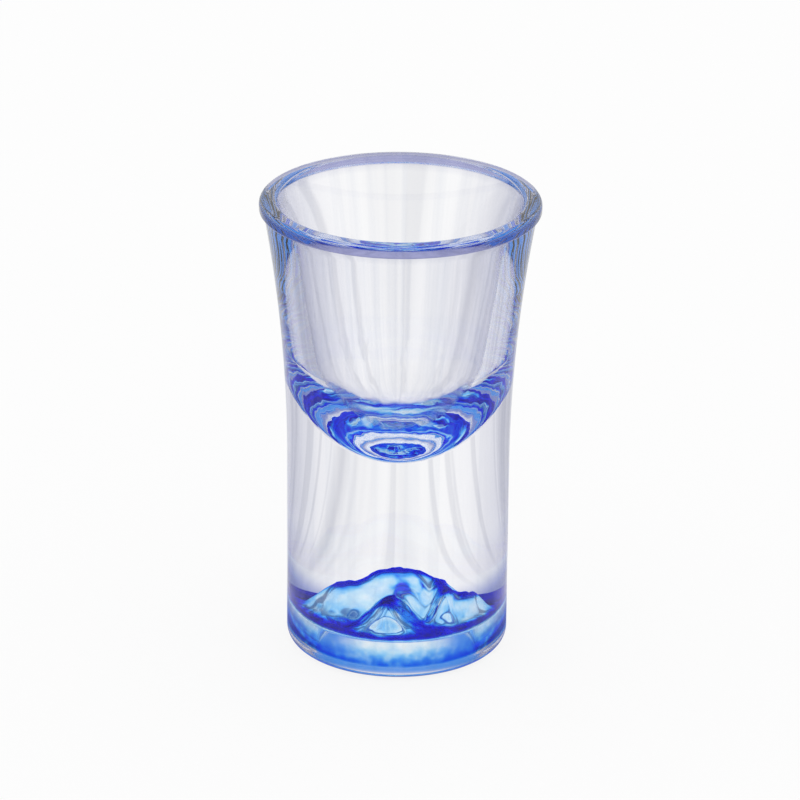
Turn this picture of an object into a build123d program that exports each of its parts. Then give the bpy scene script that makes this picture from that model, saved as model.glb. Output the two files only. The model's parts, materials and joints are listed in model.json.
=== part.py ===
from build123d import *

import os
from math import exp, hypot, sqrt

# A small pressed shot glass with a heavy solid base. The outside is a straight
# round body that opens into a flare and ends in a rolled lip. The drink goes in
# a tapered cavity with a bowl-shaped floor, well above the base. A hollow is
# pressed into the underside, with a mountain standing in its ceiling, and a thin
# film of blue lacquer coats that hollow, so the mountain shows through the base.
#
# Millimetres. The glass stands on z = 0 with Z up, centred on the Z axis.
# Profiles are drawn in the XZ plane as (radius, height) and turned about Z.

# Outside of the body
glass_height = 70.0
body_radius = 16.5
heel_radius = 2.1
flare_start = 29.0  # height where the straight body begins to open
flare_radius = 224.0  # arc of the opening wall, tangent to the straight body

# Lip
lip_height = 1.8  # the rolled edge, from its underside to the top of the glass
lip_overhang = 0.65  # how far it stands out from the wall under it
lip_width = 2.55  # across its top
lip_top_round = 0.85
lip_under_round = 0.4
lip_neck_round = 0.2  # hollow corner where the lip's underside meets the wall
mouth_round = 0.7

# Cavity for the drink
cavity_floor = 31.0  # height of the lowest point
bowl_wall = 3.5  # glass left between the body and the bowl's shoulder
bowl_rise = 16.0  # from the lowest point up to the shoulder
bowl_floor_pull = 7.0  # how far the bowl stays level before it turns up
bowl_wall_pull = 7.0  # how far it follows the side wall below the shoulder
bowl_taper = 0.17  # side wall's lean at the shoulder, radius gained per height
bowl_taper_pull = 7.0
mouth_taper = 0.35  # side wall's lean at the mouth
mouth_taper_pull = 7.0

# Hollow pressed into the underside
foot_width = 5.2  # ring of clear glass around the hollow
hollow_height = 5.2  # ceiling, above the table
hollow_draft = 0.25  # how much wider its mouth is than its ceiling
hollow_corner_round = 0.6
hollow_mouth_round = 0.5
mountain_skirt = 2.6  # width of the ceiling's rim where the mountain dies out

# Mountain in the hollow's ceiling: each ridge runs from one crest point to another,
# as (x, y, rise above the ceiling), with the width of its slopes.
ridges = [
    ((-1.2, 0.8, 7.2), (1.6, 0.8, 7.0), 3.4),  # summit
    ((-1.2, 0.8, 6.6), (-5.4, 0.4, 5.2), 2.9),  # left shoulder
    ((1.6, 0.8, 6.8), (3.6, 3.2, 5.2), 2.2),  # right shoulder
    ((0.2, 0.8, 7.0), (0.8, 6.4, 3.4), 3.0),  # back spur
    ((-0.6, -2.8, 4.4), (-1.2, -6.4, 4.4), 2.6),  # front hill
    ((3.8, 1.6, 5.6), (5.4, -2.2, 4.6), 1.8),  # right saddle
    ((5.4, -2.2, 4.6), (7.4, -0.8, 3.8), 2.3),  # right hill
]
ridge_sharpness = 6.0  # how tightly the ridges meet in the valleys

# Lacquer film
lacquer_thickness = 0.2
lacquer_edge = 0.8  # bare glass left between the film and the table

# Drawing aids
mountain_steps = 36  # cross-sections through the mountain, and points along each
tool_reach = 5.0  # how far cutting solids run past the faces that they open

hollow_radius = body_radius - foot_width


def flare_radius_at(height):
    """Outer radius of the wall at a height above the flare's start."""
    climb = height - flare_start
    return body_radius + flare_radius - sqrt(flare_radius**2 - climb**2)


def round_corners(section, corners):
    """Round the named corners of a flat section, each with its own radius."""
    for place, radius in corners:
        corner = section.vertices().sort_by_distance((*place, 0))[0]
        section = fillet(corner, radius)
    return section


def glass_section():
    """Half section of the glass with its cavity, but with no hollow underneath."""
    neck = glass_height - lip_height
    neck_radius = flare_radius_at(neck)
    halfway = (flare_start + neck) / 2
    lip_radius = neck_radius + lip_overhang
    mouth_radius = lip_radius - lip_width
    bowl_radius = body_radius - bowl_wall
    shoulder = cavity_floor + bowl_rise
    outline = [
        Line((0, 0), (body_radius, 0)),
        Line((body_radius, 0), (body_radius, flare_start)),
        ThreePointArc(
            (body_radius, flare_start),
            (flare_radius_at(halfway), halfway),
            (neck_radius, neck),
        ),
        Line((neck_radius, neck), (lip_radius, neck)),
        Line((lip_radius, neck), (lip_radius, glass_height)),
        Line((lip_radius, glass_height), (mouth_radius, glass_height)),
        Bezier(
            (mouth_radius, glass_height),
            (mouth_radius - mouth_taper * mouth_taper_pull, glass_height - mouth_taper_pull),
            (bowl_radius + bowl_taper * bowl_taper_pull, shoulder + bowl_taper_pull),
            (bowl_radius, shoulder),
        ),
        Bezier(
            (bowl_radius, shoulder),
            (bowl_radius - bowl_taper * bowl_wall_pull, shoulder - bowl_wall_pull),
            (bowl_floor_pull, cavity_floor),
            (0, cavity_floor),
        ),
        Line((0, cavity_floor), (0, 0)),
    ]
    corners = [
        ((body_radius, 0), heel_radius),
        ((neck_radius, neck), lip_neck_round),
        ((lip_radius, neck), lip_under_round),
        ((lip_radius, glass_height), lip_top_round),
        ((mouth_radius, glass_height), mouth_round),
    ]
    return round_corners(make_face(outline), corners)


def ridge_rise(x, y, start, end, width):
    """Rise of one ridge over the ceiling at a point."""
    along_x = end[0] - start[0]
    along_y = end[1] - start[1]
    share = ((x - start[0]) * along_x + (y - start[1]) * along_y) / (along_x**2 + along_y**2)
    share = min(max(share, 0), 1)
    aside = hypot(x - start[0] - share * along_x, y - start[1] - share * along_y)
    crest = start[2] + share * (end[2] - start[2])
    return crest * exp(-((aside / width) ** 2))


def mountain_rise(x, y):
    """Rise of the whole mountain over the ceiling, nothing at the ceiling's edge."""
    total = sum(ridge_rise(x, y, *ridge) ** ridge_sharpness for ridge in ridges)
    inside = (hollow_radius - hollow_corner_round - hypot(x, y)) / mountain_skirt
    inside = min(max(inside, 0), 1)
    return total ** (1 / ridge_sharpness) * inside**2 * (3 - 2 * inside)


def hollow_tool(shrink):
    """Solid that fills the hollow, or what the film leaves of it when shrunk."""
    ceiling = hollow_height - shrink
    reach = hollow_radius + 2 * hollow_draft
    spots = [reach * (2 * step / mountain_steps - 1) for step in range(mountain_steps + 1)]
    slices = [
        Wire([Edge.make_spline([(x, y, ceiling + mountain_rise(x, y)) for y in spots])])
        for x in spots
    ]
    surface = Shell.make_loft(slices).face()
    block = extrude(surface, amount=glass_height, dir=(0, 0, -1))

    side = hollow_radius - shrink
    outline = Polyline(
        (0, -tool_reach),
        (side + hollow_draft, -tool_reach),
        (side + hollow_draft, 0),
        (side - hollow_draft, 2 * hollow_height),
        (side - hollow_draft, cavity_floor),
        (0, cavity_floor),
        close=True,
    )
    plug = revolve(Plane.XZ * make_face(outline), Axis.Z)
    tool = block & plug
    rim = [edge for edge in tool.edges() if edge.center(CenterOf.BOUNDING_BOX).Z > ceiling / 2]
    return fillet(rim, hollow_corner_round - shrink)


def make_glass_body():
    """The pressed glass, with the hollow's mouth eased."""
    blank = revolve(Plane.XZ * glass_section(), Axis.Z)
    body = blank - hollow_tool(0)
    foot = body.faces().filter_by(Plane.XY).sort_by(Axis.Z)[0]
    mouth = foot.edges().sort_by(SortBy.RADIUS)[0]
    return fillet(mouth, hollow_mouth_round)


def make_base_lacquer():
    """The blue film on the sides and ceiling of the hollow."""
    film = hollow_tool(0) - hollow_tool(lacquer_thickness)
    below = Pos(0, 0, lacquer_edge) * Box(
        4 * hollow_radius,
        4 * hollow_radius,
        2 * tool_reach,
        align=(Align.CENTER, Align.CENTER, Align.MAX),
    )
    return film - below


pieces = {
    "glass_body": (make_glass_body(), Color(0.86, 0.91, 0.97)),
    "base_lacquer": (make_base_lacquer(), Color(0.05, 0.25, 0.85)),
}

os.makedirs("parts", exist_ok=True)
for name, (piece, tint) in pieces.items():
    piece.label = name
    piece.color = tint
    export_step(piece, f"parts/{name}.step")
    print(name, "volume", round(piece.volume, 1), "mm3")
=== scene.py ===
import json
from math import atan2, cos, log, pi, radians, sin, sqrt, tan

import bmesh
import bpy
from mathutils import Matrix, Vector


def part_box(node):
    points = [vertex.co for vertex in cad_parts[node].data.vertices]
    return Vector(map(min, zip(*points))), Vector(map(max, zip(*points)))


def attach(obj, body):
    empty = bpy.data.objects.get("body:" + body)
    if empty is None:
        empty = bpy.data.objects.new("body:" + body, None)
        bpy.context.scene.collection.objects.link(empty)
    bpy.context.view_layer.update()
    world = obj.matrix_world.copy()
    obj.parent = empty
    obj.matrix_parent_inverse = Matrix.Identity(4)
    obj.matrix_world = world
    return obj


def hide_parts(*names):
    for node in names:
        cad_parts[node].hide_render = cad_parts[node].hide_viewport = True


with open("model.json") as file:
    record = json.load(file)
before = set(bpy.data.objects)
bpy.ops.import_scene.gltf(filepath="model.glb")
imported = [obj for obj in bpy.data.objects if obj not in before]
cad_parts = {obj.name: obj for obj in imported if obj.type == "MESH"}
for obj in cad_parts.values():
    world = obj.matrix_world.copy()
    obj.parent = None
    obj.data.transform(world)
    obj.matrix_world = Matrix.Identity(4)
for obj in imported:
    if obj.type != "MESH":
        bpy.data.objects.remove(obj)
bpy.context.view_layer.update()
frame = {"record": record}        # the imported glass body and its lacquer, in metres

# Shot glass: clear pressed glass with a mountain pressed up into its underside, and
# a thin coat of blue lacquer on that hollow. Lengths in the dictionaries are in
# millimetres and meshes are in metres. +Z is up and the table is at z = 0.

mm = 0.001
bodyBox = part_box("glass_body")
seat = next(mount for mount in frame["record"]["mounts"] if mount["name"] == "holder_seat")
scene = bpy.context.scene
white = (1, 1, 1, 1)


# Node helpers: a value can be a number, a vector, a colour or another node's socket

def addNode(tree, kind, **settings):
    node = tree.nodes.new(kind)
    for name, value in settings.items():
        setattr(node, name, value)
    return node


def plug(tree, value, socket):
    if isinstance(value, bpy.types.NodeSocket):
        tree.links.new(value, socket)
    else:
        socket.default_value = value


def calc(tree, operation, *values):
    node = addNode(tree, "ShaderNodeMath", operation=operation)
    for value, socket in zip(values, node.inputs):
        plug(tree, value, socket)
    return node.outputs[0]


def vectorCalc(tree, operation, *values):
    node = addNode(tree, "ShaderNodeVectorMath", operation=operation)
    for value, socket in zip(values, node.inputs):
        plug(tree, value, socket)
    return node.outputs["Value" if operation in ("LENGTH", "DOT_PRODUCT") else "Vector"]


def scaled(tree, vector, factor):
    node = addNode(tree, "ShaderNodeVectorMath", operation="SCALE")
    plug(tree, vector, node.inputs[0])
    plug(tree, factor, node.inputs["Scale"])
    return node.outputs["Vector"]


def split(tree, vector):
    node = addNode(tree, "ShaderNodeSeparateXYZ")
    plug(tree, vector, node.inputs[0])
    return node.outputs


def combine(tree, x, y, z):
    node = addNode(tree, "ShaderNodeCombineXYZ")
    for value, socket in zip((x, y, z), node.inputs):
        plug(tree, value, socket)
    return node.outputs[0]


def smooth(tree, value, low, high):
    node = addNode(tree, "ShaderNodeMapRange", interpolation_type="SMOOTHSTEP")
    plug(tree, value, node.inputs["Value"])
    plug(tree, low, node.inputs["From Min"])
    plug(tree, high, node.inputs["From Max"])
    return node.outputs["Result"]


def noise(tree, vector, scale, seed, detail=1.0):
    node = addNode(tree, "ShaderNodeTexNoise", noise_dimensions="4D")
    plug(tree, vector, node.inputs["Vector"])
    plug(tree, seed, node.inputs["W"])
    plug(tree, scale, node.inputs["Scale"])
    node.inputs["Detail"].default_value = detail
    return node.outputs[0]


def mixColor(tree, share, first, second, blend="MIX"):
    node = addNode(tree, "ShaderNodeMix", data_type="RGBA", blend_type=blend)
    plug(tree, share, node.inputs[0])
    plug(tree, first, node.inputs[6])
    plug(tree, second, node.inputs[7])
    return node.outputs[2]


def makeGroup(name, inputs, outputs):
    tree = bpy.data.node_groups.new(name, "GeometryNodeTree")
    for label, kind in inputs:
        tree.interface.new_socket(label, in_out="INPUT", socket_type="NodeSocket" + kind)
    for label, kind in outputs:
        tree.interface.new_socket(label, in_out="OUTPUT", socket_type="NodeSocket" + kind)
    source = addNode(tree, "NodeGroupInput")
    return tree, source.outputs, addNode(tree, "NodeGroupOutput").inputs


def useGroup(tree, group, values):
    node = addNode(tree, "GeometryNodeGroup", node_tree=group)
    for name, value in values.items():
        plug(tree, value, node.inputs[name])
    return node.outputs


def ramp(value, low, high):
    share = min(max((value - low) / (high - low), 0), 1)
    return share * share * (3 - 2 * share)


# The glass, as a half outline of (radius, height) that runs from the middle of the
# hollow's ceiling, round the foot, up the outside and down into the bowl

glass = {
    "heelRound": 2.1,
    "flareStart": 29.0,
    "flareRadius": 224.0,
    "lipHeight": 1.8,
    "lipOverhang": 0.65,
    "lipWidth": 2.55,
    "lipTopRound": 0.85,
    "lipUnderRound": 0.4,
    "neckRound": 0.2,
    "mouthRound": 0.7,
    "bowlFloor": 31.0,
    "bowlWall": 3.5,
    "bowlRise": 16.0,
    "bowlFloorPull": 7.0,
    "bowlWallPull": 7.0,
    "bowlTaper": 0.17,
    "bowlTaperPull": 7.0,
    "mouthTaper": 0.35,
    "mouthTaperPull": 7.0,
    "footWidth": 5.2,
    "hollowHeight": 5.2,
    "hollowDraft": 0.25,
    "hollowRound": 0.6,
    "hollowMouthRound": 0.5,
    "wobbleDepth": 0.05,        # slow unevenness that pressing leaves in the bowl
    "wobbleSize": 2.0,
    "wobbleFade": (40, 50),     # heights between which it dies out
    "wallGap": 0.1,             # height kept clear between the mouth's round and the wall
    "lipFade": (-0.3, 0.1),     # where the lip's painted blue light starts, from the neck
    "lipTopFade": (0.1, 0.6),   # and where it ends, down from the top
    "insideMargin": 0.4,        # what counts as the hollow's own surface: this far past
    "insideTop": 6.0,           # its side, and no higher than this
}
steps = {                       # how finely each stretch is cut
    "turns": 336,               # round the axis, the same for glass and lacquer
    "ceiling": 66,
    "corner": 8,
    "heel": 16,
    "body": 20,
    "flare": 40,
    "neck": 6,
    "lip": 12,
    "wall": 30,
    "bowl": 60,
    "filmSide": 20,
    "weld": 0.001,              # points closer than this become one
}
glassHeight = bodyBox[1][2] / mm
lipRadius = bodyBox[1][0] / mm
bodyRadius = seat["dims"]["r_mm"]
neckHeight = glassHeight - glass["lipHeight"]
hollowRadius = bodyRadius - glass["footWidth"]
ceilingEdge = hollowRadius - glass["hollowRound"]


def cornerArc(before, corner, after, radius, count=steps["corner"]):
    corner = Vector(corner)
    toBefore = (Vector(before) - corner).normalized()
    toAfter = (Vector(after) - corner).normalized()
    half = toBefore.angle(toAfter) / 2
    centre = corner + (toBefore + toAfter).normalized() * radius / sin(half)
    first = corner + toBefore * radius / tan(half) - centre
    last = corner + toAfter * radius / tan(half) - centre
    start = atan2(first.y, first.x)
    sweep = (atan2(last.y, last.x) - start + pi) % (2 * pi) - pi
    angles = [start + sweep * step / count for step in range(count + 1)]
    return [(centre.x + radius * cos(a), centre.y + radius * sin(a)) for a in angles]


def bezier(a, b, c, d, count):
    points = []
    for step in range(count + 1):
        t = step / count
        s = 1 - t
        weights = (s**3, 3 * s * s * t, 3 * s * t * t, t**3)
        points.append(tuple(sum(w * p[k] for w, p in zip(weights, (a, b, c, d))) for k in (0, 1)))
    return points


# Ceiling and side of the hollow down to a height, moved into the glass by shift
def hollowLine(shift, bottom, count=1):
    top = glass["hollowHeight"] + shift
    side = hollowRadius + shift
    foot = side + glass["hollowDraft"]
    rings = steps["ceiling"]
    ceiling = [(ceilingEdge * ring / rings, top) for ring in range(rings)]
    bend = cornerArc((0, top), (side, top), (foot, shift), glass["hollowRound"] + shift)
    edge = side + glass["hollowDraft"] * (1 - bottom / top)
    wall = [tuple(Vector(bend[-1]).lerp((edge, bottom), step / count)) for step in range(1, count + 1)]
    return ceiling + bend + wall


def outsideLine():
    g = glass
    straight = g["flareStart"] - g["heelRound"]
    flare = neckHeight - g["neckRound"] - g["flareStart"]
    line = cornerArc((0, 0), (bodyRadius, 0), (bodyRadius, glassHeight), g["heelRound"], steps["heel"])
    for step in range(1, steps["body"] + 1):
        line.append((bodyRadius, g["heelRound"] + straight * step / steps["body"]))
    for step in range(1, steps["flare"]):
        climb = flare * step / steps["flare"]
        reach = g["flareRadius"] - sqrt(g["flareRadius"]**2 - climb**2)
        line.append((bodyRadius + reach, g["flareStart"] + climb))
    return line


def glassOutline():
    g = glass
    mouthRadius = lipRadius - g["lipWidth"]
    bowlRadius = bodyRadius - g["bowlWall"]
    shoulder = g["bowlFloor"] + g["bowlRise"]
    neck = (lipRadius - g["lipOverhang"], neckHeight)
    lipFoot = (lipRadius, neckHeight)
    lipTop = (lipRadius, glassHeight)
    mouth = (mouthRadius, glassHeight)
    mouthPull = (mouthRadius - g["mouthTaper"] * g["mouthTaperPull"], glassHeight - g["mouthTaperPull"])
    hollowFoot = (hollowRadius + g["hollowDraft"], 0)

    outline = hollowLine(0, g["hollowMouthRound"])[:-1]
    outline += cornerArc(outline[-1], hollowFoot, (bodyRadius, 0), g["hollowMouthRound"])
    outline += outsideLine()
    outline += cornerArc(outline[-1], neck, lipFoot, g["neckRound"], steps["neck"])
    outline += cornerArc(neck, lipFoot, lipTop, g["lipUnderRound"], steps["neck"])
    outline += cornerArc(lipFoot, lipTop, mouth, g["lipTopRound"], steps["lip"])
    outline += cornerArc(lipTop, mouth, mouthPull, g["mouthRound"], steps["lip"])
    wall = bezier(
        mouth,
        mouthPull,
        (bowlRadius + g["bowlTaper"] * g["bowlTaperPull"], shoulder + g["bowlTaperPull"]),
        (bowlRadius, shoulder),
        steps["wall"],
    )
    outline += [point for point in wall if point[1] < outline[-1][1] - g["wallGap"]]
    outline += bezier(
        (bowlRadius, shoulder),
        (bowlRadius - g["bowlTaper"] * g["bowlWallPull"], shoulder - g["bowlWallPull"]),
        (g["bowlFloorPull"], g["bowlFloor"]),
        (0, g["bowlFloor"]),
        steps["bowl"],
    )[1:]
    return outline


# The lacquer lies just inside the glass's surface, so that light crosses the glass's
# own face once, and its thickness tells how blue each place looks

lacquer = {
    "fullThickness": 0.12,      # the film that lets through what the material's dictionary says
    "thinnest": 0.006,
    "gap": 0.004,               # keeps the film's near side off the glass's own surface
    "edge": 0.8,                # bare glass under the film
    "edgeFade": 0.4,            # height in which the film grows from that edge
    "pooling": 0.28,            # how much thicker the film gets where it ran together
    "poolSize": 1.4,
    "cloudEdge": (0.3, 0.65),   # the noise's span from thin to thick
    "cloudShare": 0.75,         # how much of the pooling comes and goes with it
    "levelPower": 6,            # how soon the pooling dies as the surface tilts
    "steepShare": 0.012,        # how much of it is left on a steep slope
    "crestShare": 1.2,          # how much more gathers along the crests
    "crestWidth": 0.7,
    "crestLevel": (0.45, 0.8),  # upward share of the normal between which crests count
    "drip": 42.0,               # how many times thicker it is where it ran down the side
}


def lacquerOutline():
    near = hollowLine(lacquer["gap"], lacquer["edge"], steps["filmSide"])
    deep = hollowLine(lacquer["thinnest"], lacquer["edge"], steps["filmSide"])
    return near, deep[::-1]


# The mountain: ridges from one crest point to another, as (x, y, rise over the
# hollow's ceiling), with the width of their slopes

mountain = {
    "ridges": [
        ((-1.2, 0.8, 7.2), (1.6, 0.8, 7.0), 3.4),      # summit
        ((-1.2, 0.8, 6.6), (-5.4, 0.4, 5.2), 2.9),     # left shoulder
        ((1.6, 0.8, 6.8), (3.6, 3.2, 5.2), 2.2),       # right shoulder
        ((0.2, 0.8, 7.0), (0.8, 6.4, 3.4), 3.0),       # back spur
        ((-0.6, -2.8, 4.4), (-1.2, -6.4, 4.4), 2.6),   # front hill
        ((3.8, 1.6, 5.6), (5.4, -2.2, 4.6), 1.8),      # right saddle
        ((5.4, -2.2, 4.6), (7.4, -0.8, 3.8), 2.3),     # right hill
    ],
    "sharpness": 6.0,           # how tightly the ridges meet in the valleys
    "skirt": 2.6,               # rim of the ceiling where the mountain dies out
    "softness": 0.3,            # lumps that the hot glass kept
    "softSize": 1.8,
    "seed": 5.0,                # also sets the film's clouds and the bowl's unevenness
}


# Rise of one ridge at a point in millimetres, raised to the sharpness, and the part
# of that power near the ridge's crest
def ridgeGroup():
    tree, given, result = makeGroup(
        "ridge",
        [("Place", "Vector"), ("Start", "Vector"), ("End", "Vector"), ("Width", "Float"),
         ("Sharpness", "Float"), ("Crest Width", "Float")],
        [("Power", "Float"), ("Crest", "Float")],
    )
    inPlan = (1, 1, 0)
    along = vectorCalc(tree, "MULTIPLY", vectorCalc(tree, "SUBTRACT", given["End"], given["Start"]), inPlan)
    away = vectorCalc(tree, "MULTIPLY", vectorCalc(tree, "SUBTRACT", given["Place"], given["Start"]), inPlan)
    reach = vectorCalc(tree, "DOT_PRODUCT", along, along)
    share = calc(tree, "DIVIDE", vectorCalc(tree, "DOT_PRODUCT", away, along), reach)
    share = calc(tree, "MINIMUM", calc(tree, "MAXIMUM", share, 0), 1)
    aside = vectorCalc(tree, "LENGTH", vectorCalc(tree, "SUBTRACT", away, scaled(tree, along, share)))

    def bell(width):
        slope = calc(tree, "POWER", calc(tree, "DIVIDE", aside, width), 2)
        return calc(tree, "EXPONENT", calc(tree, "MULTIPLY", slope, -1))

    startRise = split(tree, given["Start"])[2]
    endRise = split(tree, given["End"])[2]
    crest = calc(tree, "MULTIPLY_ADD", calc(tree, "SUBTRACT", endRise, startRise), share, startRise)
    rise = calc(tree, "MULTIPLY", crest, bell(given["Width"]))
    power = calc(tree, "POWER", rise, given["Sharpness"])
    plug(tree, power, result["Power"])
    plug(tree, calc(tree, "MULTIPLY", power, bell(given["Crest Width"])), result["Crest"])
    return tree


# Rise of the whole mountain at a point in millimetres, and how near a crest it is
def mountainGroup():
    tree, given, result = makeGroup(
        "mountain",
        [("Place", "Vector"), ("Edge", "Float"), ("Skirt", "Float"), ("Sharpness", "Float"),
         ("Softness", "Float"), ("Soft Size", "Float"), ("Crest Width", "Float"), ("Seed", "Float")],
        [("Rise", "Float"), ("Crest", "Float")],
    )
    ridge = ridgeGroup()
    total = crest = 0
    for start, end, width in mountain["ridges"]:
        one = useGroup(tree, ridge, {
            "Place": given["Place"],
            "Start": start,
            "End": end,
            "Width": width,
            "Sharpness": given["Sharpness"],
            "Crest Width": given["Crest Width"],
        })
        total = calc(tree, "ADD", total, one["Power"])
        crest = calc(tree, "ADD", crest, one["Crest"])
    rise = calc(tree, "POWER", total, calc(tree, "DIVIDE", 1, given["Sharpness"]))
    lumps = noise(tree, given["Place"], calc(tree, "DIVIDE", 1, given["Soft Size"]), given["Seed"])
    swing = calc(tree, "MULTIPLY", 2, given["Softness"])
    lumps = calc(tree, "MULTIPLY", calc(tree, "SUBTRACT", lumps, 0.5), swing)
    radius = vectorCalc(tree, "LENGTH", vectorCalc(tree, "MULTIPLY", given["Place"], (1, 1, 0)))
    inner = calc(tree, "SUBTRACT", given["Edge"], given["Skirt"])
    fade = calc(tree, "SUBTRACT", 1, smooth(tree, radius, inner, given["Edge"]))
    plug(tree, calc(tree, "MULTIPLY", calc(tree, "ADD", rise, lumps), fade), result["Rise"])
    crest = calc(tree, "DIVIDE", crest, calc(tree, "ADD", total, 0.001))    # never by 0
    plug(tree, calc(tree, "MULTIPLY", crest, fade), result["Crest"])
    return tree


# Turns a half outline about Z, presses the mountain up into it, thickens the film
# and unsettles the bowl. The outline's points carry how much of each they take.
def latheTree():
    tree, given, result = makeGroup(
        "pressed lathe",
        [("Geometry", "Geometry"), ("Turns", "Int"), ("Mountain Edge", "Float"),
         ("Mountain Skirt", "Float"), ("Sharpness", "Float"), ("Softness", "Float"),
         ("Soft Size", "Float"), ("Wobble Depth", "Float"), ("Wobble Size", "Float"),
         ("Pooling", "Float"), ("Pool Size", "Float"), ("Steep Share", "Float"),
         ("Crest Share", "Float"), ("Crest Width", "Float"), ("Seed", "Float"),
         ("Material", "Material")],
        [("Geometry", "Geometry")],
    )
    size = addNode(tree, "GeometryNodeAttributeDomainSize", component="MESH")
    plug(tree, given["Geometry"], size.inputs[0])
    rows = size.outputs["Point Count"]
    grid = addNode(tree, "GeometryNodeMeshGrid")
    grid.inputs["Size X"].default_value = 1
    grid.inputs["Size Y"].default_value = 1
    plug(tree, rows, grid.inputs["Vertices X"])
    plug(tree, calc(tree, "ADD", given["Turns"], 1), grid.inputs["Vertices Y"])

    spot = split(tree, addNode(tree, "GeometryNodeInputPosition").outputs[0])
    row = calc(tree, "MULTIPLY", calc(tree, "ADD", spot[0], 0.5), calc(tree, "SUBTRACT", rows, 1))
    row = calc(tree, "FLOOR", calc(tree, "ADD", row, 0.5))
    angle = calc(tree, "MULTIPLY", calc(tree, "ADD", spot[1], 0.5), 2 * pi)

    def sample(kind, field):
        node = addNode(tree, "GeometryNodeSampleIndex", data_type=kind, domain="POINT")
        plug(tree, given["Geometry"], node.inputs["Geometry"])
        plug(tree, field, node.inputs["Value"])
        plug(tree, row, node.inputs["Index"])
        return node.outputs["Value"]

    def named(name):
        node = addNode(tree, "GeometryNodeInputNamedAttribute", data_type="FLOAT")
        node.inputs["Name"].default_value = name
        return node.outputs["Attribute"]

    turned = grid.outputs["Mesh"]
    for name in ("press", "wobble", "pool", "inside", "lip"):
        store = addNode(tree, "GeometryNodeStoreNamedAttribute", data_type="FLOAT", domain="POINT")
        plug(tree, turned, store.inputs["Geometry"])
        store.inputs["Name"].default_value = name
        plug(tree, sample("FLOAT", named(name)), store.inputs["Value"])
        turned = store.outputs["Geometry"]

    place = split(tree, sample("FLOAT_VECTOR", addNode(tree, "GeometryNodeInputPosition").outputs[0]))
    x = calc(tree, "MULTIPLY", place[0], calc(tree, "COSINE", angle))
    y = calc(tree, "MULTIPLY", place[0], calc(tree, "SINE", angle))
    revolve = addNode(tree, "GeometryNodeSetPosition")
    plug(tree, turned, revolve.inputs["Geometry"])
    plug(tree, combine(tree, x, y, place[2]), revolve.inputs["Position"])
    merge = addNode(tree, "GeometryNodeMergeByDistance")
    plug(tree, revolve.outputs[0], merge.inputs["Geometry"])
    merge.inputs["Distance"].default_value = steps["weld"] * mm
    outward = addNode(tree, "GeometryNodeFlipFaces")
    plug(tree, merge.outputs[0], outward.inputs["Mesh"])

    here = scaled(tree, addNode(tree, "GeometryNodeInputPosition").outputs[0], 1 / mm)
    relief = useGroup(tree, mountainGroup(), {
        "Place": here,
        "Edge": given["Mountain Edge"],
        "Skirt": given["Mountain Skirt"],
        "Sharpness": given["Sharpness"],
        "Softness": given["Softness"],
        "Soft Size": given["Soft Size"],
        "Crest Width": given["Crest Width"],
        "Seed": given["Seed"],
    })
    press = addNode(tree, "GeometryNodeSetPosition")
    plug(tree, outward.outputs[0], press.inputs["Geometry"])
    lift = calc(tree, "MULTIPLY", calc(tree, "MULTIPLY", relief["Rise"], named("press")), mm)
    plug(tree, combine(tree, 0, 0, lift), press.inputs["Offset"])

    # film: thick where the surface is level or a crest, thin on slopes, and cloudy
    normal = addNode(tree, "GeometryNodeInputNormal").outputs[0]
    level = calc(tree, "ABSOLUTE", split(tree, normal)[2])      # 1 on a level place, 0 on a wall
    spread = addNode(tree, "ShaderNodeMapRange")
    plug(tree, calc(tree, "POWER", level, lacquer["levelPower"]), spread.inputs["Value"])
    plug(tree, given["Steep Share"], spread.inputs["To Min"])
    crest = calc(tree, "MULTIPLY", relief["Crest"], smooth(tree, level, *lacquer["crestLevel"]))
    spread = calc(tree, "MULTIPLY_ADD", crest, given["Crest Share"], spread.outputs["Result"])
    cloudSeed = calc(tree, "ADD", given["Seed"], 9)
    cloud = noise(tree, here, calc(tree, "DIVIDE", 1, given["Pool Size"]), cloudSeed, 2.0)
    cloud = smooth(tree, cloud, *lacquer["cloudEdge"])
    cloud = calc(tree, "MULTIPLY_ADD", cloud, lacquer["cloudShare"], 1 - lacquer["cloudShare"])
    pool = calc(tree, "MULTIPLY", calc(tree, "MULTIPLY", cloud, spread), named("pool"))
    pool = calc(tree, "MULTIPLY", pool, calc(tree, "MULTIPLY", given["Pooling"], mm))
    thicken = addNode(tree, "GeometryNodeSetPosition")
    plug(tree, press.outputs[0], thicken.inputs["Geometry"])
    plug(tree, scaled(tree, normal, pool), thicken.inputs["Offset"])

    sway = noise(tree, here, calc(tree, "DIVIDE", 1, given["Wobble Size"]), given["Seed"], 2.0)
    swing = calc(tree, "MULTIPLY", 2 * mm, given["Wobble Depth"])
    sway = calc(tree, "MULTIPLY", calc(tree, "SUBTRACT", sway, 0.5), swing)
    push = calc(tree, "MULTIPLY", sway, named("wobble"))
    unsettle = addNode(tree, "GeometryNodeSetPosition")
    plug(tree, thicken.outputs[0], unsettle.inputs["Geometry"])
    wobbleNormal = addNode(tree, "GeometryNodeInputNormal").outputs[0]
    plug(tree, scaled(tree, wobbleNormal, push), unsettle.inputs["Offset"])

    soft = addNode(tree, "GeometryNodeSetShadeSmooth")
    plug(tree, unsettle.outputs[0], soft.inputs["Geometry"])
    real = addNode(tree, "GeometryNodeRealizeInstances")
    plug(tree, soft.outputs[0], real.inputs[0])
    paint = addNode(tree, "GeometryNodeSetMaterial")
    plug(tree, real.outputs[0], paint.inputs["Geometry"])
    plug(tree, given["Material"], paint.inputs["Material"])
    plug(tree, paint.outputs[0], result["Geometry"])
    return tree


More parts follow.
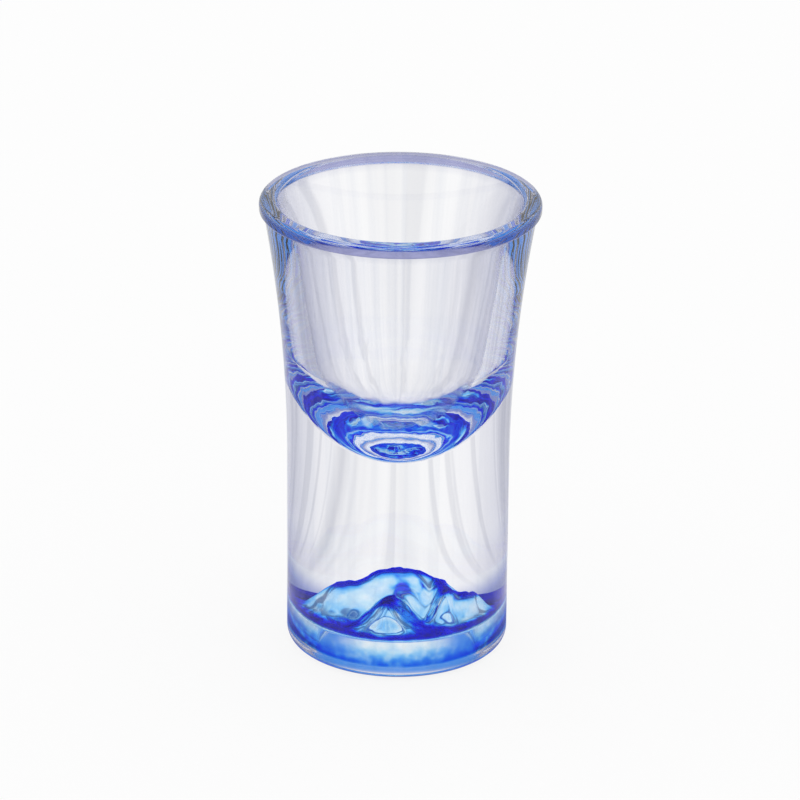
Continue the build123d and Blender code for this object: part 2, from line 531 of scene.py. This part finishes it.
# The half outline as a line of points that carries its weights
def outlineObject(name, outline, weights):
    mesh = bpy.data.meshes.new(name)
    points = [(radius * mm, 0, height * mm) for radius, height in outline]
    mesh.from_pydata(points, [(k, k + 1) for k in range(len(points) - 1)], [])
    for label, values in weights.items():
        attribute = mesh.attributes.new(label, "FLOAT", "POINT")
        attribute.data.foreach_set("value", values)
    piece = bpy.data.objects.new(name, mesh)
    scene.collection.objects.link(piece)
    return piece


# Runs the tree on an outline and keeps the result as a plain mesh
def pressPiece(name, outline, weights, tree, values):
    source = outlineObject(name + "_outline", outline, weights)
    modifier = source.modifiers.new("lathe", "NODES")
    modifier.node_group = tree
    for item in tree.interface.items_tree:
        if item.in_out == "INPUT" and item.name in values:
            modifier[item.identifier] = values[item.name]
    evaluated = source.evaluated_get(bpy.context.evaluated_depsgraph_get())
    mesh = bpy.data.meshes.new_from_object(evaluated)
    mesh.name = name
    source.modifiers.clear()
    bpy.data.objects.remove(source)
    work = bmesh.new()
    work.from_mesh(mesh)
    if work.calc_volume(signed=True) < 0:
        bmesh.ops.reverse_faces(work, faces=work.faces)
    loose = sum(1 for edge in work.edges if len(edge.link_faces) != 2)
    volume = round(work.calc_volume() / mm**3, 1)
    print(name, "faces", len(work.faces), "open edges", loose, "volume mm3", volume)
    work.to_mesh(mesh)
    work.free()
    piece = bpy.data.objects.new(name, mesh)
    scene.collection.objects.link(piece)
    return piece


# Finishes

def startMaterial(name):
    material = bpy.data.materials.new(name)
    material.use_nodes = True
    tree = material.node_tree
    tree.nodes.clear()
    return material, tree, addNode(tree, "ShaderNodeOutputMaterial")


def clearShader(tree, ior):
    shader = addNode(tree, "ShaderNodeBsdfPrincipled")
    shader.inputs["Transmission Weight"].default_value = 1
    shader.inputs["Roughness"].default_value = 0
    shader.inputs["IOR"].default_value = ior
    return shader


clearGlass = {
    "ior": 1.5,
    "paintedEdgeShade": [                          # painted shade: the glass darkens to lavender grey from looking straight at the surface to looking along it
        (0.0, (1.0, 1.0, 1.0, 1)),
        (0.1, (0.99, 0.99, 1.0, 1)),
        (0.25, (0.90, 0.90, 0.94, 1)),
        (0.5, (0.59, 0.60, 0.70, 1)),
        (0.75, (0.42, 0.43, 0.57, 1)),
        (1.0, (0.05, 0.07, 0.25, 1)),
    ],
    "lipPaintedBlue": (0.15, 0.16, 0.42, 1),   # painted blue light on the rolled edge, as if it gathered the blue from the base
    "paintedStreakTint": (0.92, 0.93, 0.95, 1), # painted reflections: faint upright grey streaks round the glass
    "paintedStreakScale": 9.0,
    "paintedStreakEdge": (0.5, 0.62),
    "paintedStreakSeed": 3.0,
}


def fillRamp(node, stops):
    elements = node.color_ramp.elements
    while len(elements) < len(stops):
        elements.new(1)
    for element, (position, color) in zip(elements, stops):
        element.position = position
        element.color = color


def clearGlassMaterial():
    c = clearGlass
    material, tree, output = startMaterial("clearGlass")
    shader = clearShader(tree, c["ior"])
    inside = addNode(tree, "ShaderNodeAttribute", attribute_name="inside").outputs["Fac"]
    lip = addNode(tree, "ShaderNodeAttribute", attribute_name="lip").outputs["Fac"]
    outside = calc(tree, "SUBTRACT", 1, inside)     # no painted edge shade or painted streaks in the hollow
    facing = addNode(tree, "ShaderNodeLayerWeight").outputs["Facing"]
    # painted shade: darker lavender grey where the surface is seen edge on
    tint = addNode(tree, "ShaderNodeValToRGB")
    fillRamp(tint, c["paintedEdgeShade"])
    plug(tree, calc(tree, "MULTIPLY", facing, outside), tint.inputs[0])
    place = addNode(tree, "ShaderNodeTexCoord").outputs["Object"]
    around = vectorCalc(tree, "NORMALIZE", vectorCalc(tree, "MULTIPLY", place, (1, 1, 0)))
    # painted reflections: faint upright grey streaks, by direction round the axis
    paintedStreaks = smooth(tree, noise(tree, around, c["paintedStreakScale"], c["paintedStreakSeed"], 2.0), *c["paintedStreakEdge"])
    paintedStreaks = calc(tree, "MULTIPLY", paintedStreaks, outside)
    color = mixColor(tree, paintedStreaks, tint.outputs[0], c["paintedStreakTint"], "MULTIPLY")
    # painted blue light multiplied into the rolled lip
    color = mixColor(tree, lip, color, c["lipPaintedBlue"], "MULTIPLY")
    plug(tree, color, shader.inputs["Base Color"])
    plug(tree, shader.outputs[0], output.inputs["Surface"])
    return material


blueLacquer = {
    "through": (0.03, 0.30, 0.94),      # light left after crossing the full thickness straight on
    "pale": (1.0, 1.0, 1.0, 1),
    "deep": (0.75, 0.88, 1.0, 1),
    "cloudScale": 0.45,
    "cloudEdge": (0.35, 0.7),
    "seed": 11.0,
}


def blueLacquerMaterial():
    b = blueLacquer
    material, tree, output = startMaterial("blueLacquer")
    shader = clearShader(tree, 1.0)     # it bends no light, as it lies inside the glass
    place = addNode(tree, "ShaderNodeTexCoord").outputs["Object"]
    cloud = smooth(tree, noise(tree, place, b["cloudScale"] / mm, b["seed"], 2.0), *b["cloudEdge"])
    plug(tree, mixColor(tree, cloud, b["pale"], b["deep"]), shader.inputs["Base Color"])
    plug(tree, shader.outputs[0], output.inputs["Surface"])
    loss = [-log(share) / (lacquer["fullThickness"] * mm) for share in b["through"]]
    density = max(loss) * 1.02          # a little over the largest loss, which keeps the colour above 0
    body = addNode(tree, "ShaderNodeVolumeAbsorption")
    body.inputs["Color"].default_value = (*(1 - part / density for part in loss), 1)
    body.inputs["Density"].default_value = density
    plug(tree, body.outputs[0], output.inputs["Volume"])
    return material


# The two pieces, which share the mountain's values

pressing = {
    "Turns": steps["turns"],
    "Mountain Edge": ceilingEdge,
    "Mountain Skirt": mountain["skirt"],
    "Sharpness": mountain["sharpness"],
    "Softness": mountain["softness"],
    "Soft Size": mountain["softSize"],
    "Seed": mountain["seed"],
}


def buildGlass(tree):
    outline = glassOutline()
    top = max(range(len(outline)), key=lambda k: outline[k][1])
    weights = {"press": [], "wobble": [], "pool": [], "inside": [], "lip": []}
    for k, (radius, height) in enumerate(outline):
        inHollow = radius < hollowRadius + glass["insideMargin"] and height < glass["insideTop"]
        rolled = ramp(height - neckHeight, *glass["lipFade"])
        rolled *= ramp(glassHeight - height, *glass["lipTopFade"])
        weights["press"].append(1.0 if k <= steps["ceiling"] else 0.0)
        weights["wobble"].append(1 - ramp(height, *glass["wobbleFade"]) if k > top else 0.0)
        weights["pool"].append(0.0)
        weights["inside"].append(1.0 if inHollow else 0.0)
        weights["lip"].append(rolled if k <= top else 0.0)
    piece = pressPiece("glass", outline, weights, tree, {
        **pressing,
        "Wobble Depth": glass["wobbleDepth"],
        "Wobble Size": glass["wobbleSize"],
        "Pooling": 0.0,
        "Pool Size": 1.0,
        "Steep Share": 1.0,
        "Crest Share": 0.0,
        "Crest Width": 1.0,
        "Material": clearGlassMaterial(),
    })
    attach(piece, "root")
    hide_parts("glass_body")


def buildLacquer(tree):
    near, deep = lacquerOutline()
    outline = near + deep
    everywhere = [1.0] * len(outline)
    nowhere = [0.0] * len(outline)
    pool = [0.0] * len(near)
    for radius, height in deep:
        low = 1 - ramp(height, lacquer["edge"], glass["hollowHeight"])
        drip = 0 if radius < ceilingEdge else lacquer["drip"] * low**2
        grown = ramp(height, lacquer["edge"], lacquer["edge"] + lacquer["edgeFade"])
        pool.append((1 + drip) * grown)
    weights = {"press": everywhere, "wobble": nowhere, "pool": pool, "inside": everywhere, "lip": nowhere}
    piece = pressPiece("lacquer", outline, weights, tree, {
        **pressing,
        "Wobble Depth": 0.0,
        "Wobble Size": 1.0,
        "Pooling": lacquer["pooling"],
        "Pool Size": lacquer["poolSize"],
        "Steep Share": lacquer["steepShare"],
        "Crest Share": lacquer["crestShare"],
        "Crest Width": lacquer["crestWidth"],
        "Material": blueLacquerMaterial(),
    })
    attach(piece, "root")
    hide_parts("base_lacquer")


lathe = latheTree()
buildGlass(lathe)
buildLacquer(lathe)
print("pieces made")


# Table and studio. A fade of four radii grows from the first to the second and dies
# from the third to the fourth.

studio = {
    "cardShadeTint": (0.54, 0.55, 0.61, 1),   # painted shade of soft cards round the set, on the table, seen only in the glass
    "cardScale": 3.5,
    "cardEdge": (0.42, 0.6),
    "fineScale": 15,
    "fineEdge": (0.52, 0.6),
    "fineShare": 0.4,
    "seed": 7.0,
    "horizon": (0.32, 0.33, 0.44, 1),    # the dim room, between its low and its high light
    "lowLight": (0.4, 0.55),
    "highLight": (0.75, 0.9),
    "paintedBlueLightUnder": (0.03, 0.27, 0.85, 1),  # painted blue light and shade on the table under the glass
    "paintedBlueLightUnderFade": (4.0, 11.0, 14.0, 15.0),
    "paintedBlueShadeRound": (0.15, 0.22, 0.62, 1),       # painted blue shade on the table round its foot, seen only through the glass
    "paintedBlueShadeRoundFade": (14.0, 16.5, 19.0, 28.0),
    "cardsFrom": (18.0, 40.0),           # how far from the glass the painted card shade starts on the table
    "tableSize": 3000.0,
    "tableShade": 0.85,                  # how much of the table's white is its own
    "paper": (0.9, 0.9, 0.9, 1),
}


# Painted shade: white to grey streaks round the vertical axis, from a direction or a place
def paintedCardShadeGroup():
    s = studio
    tree = bpy.data.node_groups.new("painted card shade", "ShaderNodeTree")
    tree.interface.new_socket("Direction", in_out="INPUT", socket_type="NodeSocketVector")
    tree.interface.new_socket("Color", in_out="OUTPUT", socket_type="NodeSocketColor")
    given = addNode(tree, "NodeGroupInput").outputs
    result = addNode(tree, "NodeGroupOutput").inputs
    around = vectorCalc(tree, "NORMALIZE", vectorCalc(tree, "MULTIPLY", given["Direction"], (1, 1, 0)))
    streaks = smooth(tree, noise(tree, around, s["cardScale"], s["seed"], 3.0), *s["cardEdge"])
    fine = smooth(tree, noise(tree, around, s["fineScale"], s["seed"] + 4, 1.0), *s["fineEdge"])
    streaks = calc(tree, "MAXIMUM", streaks, calc(tree, "MULTIPLY", fine, s["fineShare"]))
    plug(tree, mixColor(tree, streaks, white, s["cardShadeTint"]), result["Color"])
    return tree


def tableMaterial():
    s = studio
    material, tree, output = startMaterial("paleTable")
    path = addNode(tree, "ShaderNodeLightPath").outputs
    seen = calc(tree, "MAXIMUM", path["Is Camera Ray"], path["Is Glossy Ray"])
    seen = calc(tree, "MAXIMUM", seen, path["Is Transmission Ray"])
    place = addNode(tree, "ShaderNodeTexCoord").outputs["Object"]
    away = vectorCalc(tree, "LENGTH", place)

    def ring(fade):
        start, full, end, gone = (radius * mm for radius in fade)
        fadeOut = calc(tree, "SUBTRACT", 1, smooth(tree, away, end, gone))
        return calc(tree, "MULTIPLY", smooth(tree, away, start, full), fadeOut)

    # painted shade of studio cards, seen on the table only through glass and gloss
    cards = addNode(tree, "ShaderNodeGroup", node_tree=paintedCardShadeGroup())
    plug(tree, place, cards.inputs["Direction"])
    far = smooth(tree, away, *(radius * mm for radius in s["cardsFrom"]))
    tone = mixColor(tree, far, white, cards.outputs[0])
    # painted blue shade round the foot, seen only through the glass
    tone = mixColor(tree, ring(s["paintedBlueShadeRoundFade"]), tone, s["paintedBlueShadeRound"])
    tone = mixColor(tree, path["Is Camera Ray"], tone, white)
    # painted blue light and shade on the table under the glass, for every ray
    tone = mixColor(tree, ring(s["paintedBlueLightUnderFade"]), tone, s["paintedBlueLightUnder"])
    glow = addNode(tree, "ShaderNodeEmission")
    plug(tree, tone, glow.inputs["Color"])
    glow.inputs["Strength"].default_value = 1
    paper = addNode(tree, "ShaderNodeBsdfDiffuse")
    paper.inputs["Color"].default_value = s["paper"]
    share = addNode(tree, "ShaderNodeMixShader")
    plug(tree, calc(tree, "MULTIPLY", seen, s["tableShade"]), share.inputs[0])
    plug(tree, paper.outputs[0], share.inputs[1])
    plug(tree, glow.outputs[0], share.inputs[2])
    plug(tree, share.outputs[0], output.inputs["Surface"])
    return material


def buildTable():
    half = studio["tableSize"] * mm / 2
    corners = [(-half, -half, 0), (half, -half, 0), (half, half, 0), (-half, half, 0)]
    mesh = bpy.data.meshes.new("table")
    mesh.from_pydata(corners, [], [(0, 1, 2, 3)])
    mesh.materials.append(tableMaterial())
    table = bpy.data.objects.new("table", mesh)
    scene.collection.objects.link(table)


def buildWorld():
    world = bpy.data.worlds.new("studio")
    scene.world = world
    world.use_nodes = True
    tree = world.node_tree
    tree.nodes.clear()
    output = addNode(tree, "ShaderNodeOutputWorld")
    path = addNode(tree, "ShaderNodeLightPath").outputs
    height = split(tree, addNode(tree, "ShaderNodeTexCoord").outputs["Generated"])[2]
    low = calc(tree, "SUBTRACT", 1, smooth(tree, height, *studio["lowLight"]))
    bright = calc(tree, "ADD", low, smooth(tree, height, *studio["highLight"]))
    room = mixColor(tree, bright, studio["horizon"], white)
    plain = calc(tree, "MAXIMUM", path["Is Camera Ray"], path["Is Diffuse Ray"])
    light = addNode(tree, "ShaderNodeBackground")
    plug(tree, mixColor(tree, plain, room, white), light.inputs["Color"])
    plug(tree, light.outputs[0], output.inputs["Surface"])


buildTable()
buildWorld()
print("studio made")


camera = {
    "distance": 700.0,
    "elevation": 22.8,          # degrees above the table
    "roll": 0.544,
    "focal": 212.8,
    "sensor": 36.0,
    "shift": (0.00175, 0.02505),
    "clipStart": 50.0,
}


def buildCamera():
    c = camera
    data = bpy.data.cameras.new("camera")
    data.lens = c["focal"]
    data.sensor_width = c["sensor"]
    data.shift_x, data.shift_y = c["shift"]
    data.clip_start = c["clipStart"] * mm
    rig = bpy.data.objects.new("camera", data)
    scene.collection.objects.link(rig)
    tilt = radians(c["elevation"])
    distance = c["distance"] * mm
    aim = bodyBox[1][2] / 2
    rig.location = (0, -distance * cos(tilt), aim + distance * sin(tilt))
    turn = Matrix.Rotation(pi / 2 - tilt, 3, "X") @ Matrix.Rotation(radians(c["roll"]), 3, "Z")
    rig.rotation_euler = turn.to_euler()
    scene.camera = rig


buildCamera()
print("camera set")
scene.view_settings.view_transform = "Standard"
scene.cycles.max_bounces = 48           # light crosses many faces of glass and film
scene.cycles.transmission_bounces = 48
scene.cycles.glossy_bounces = 16
scene.cycles.transparent_max_bounces = 96
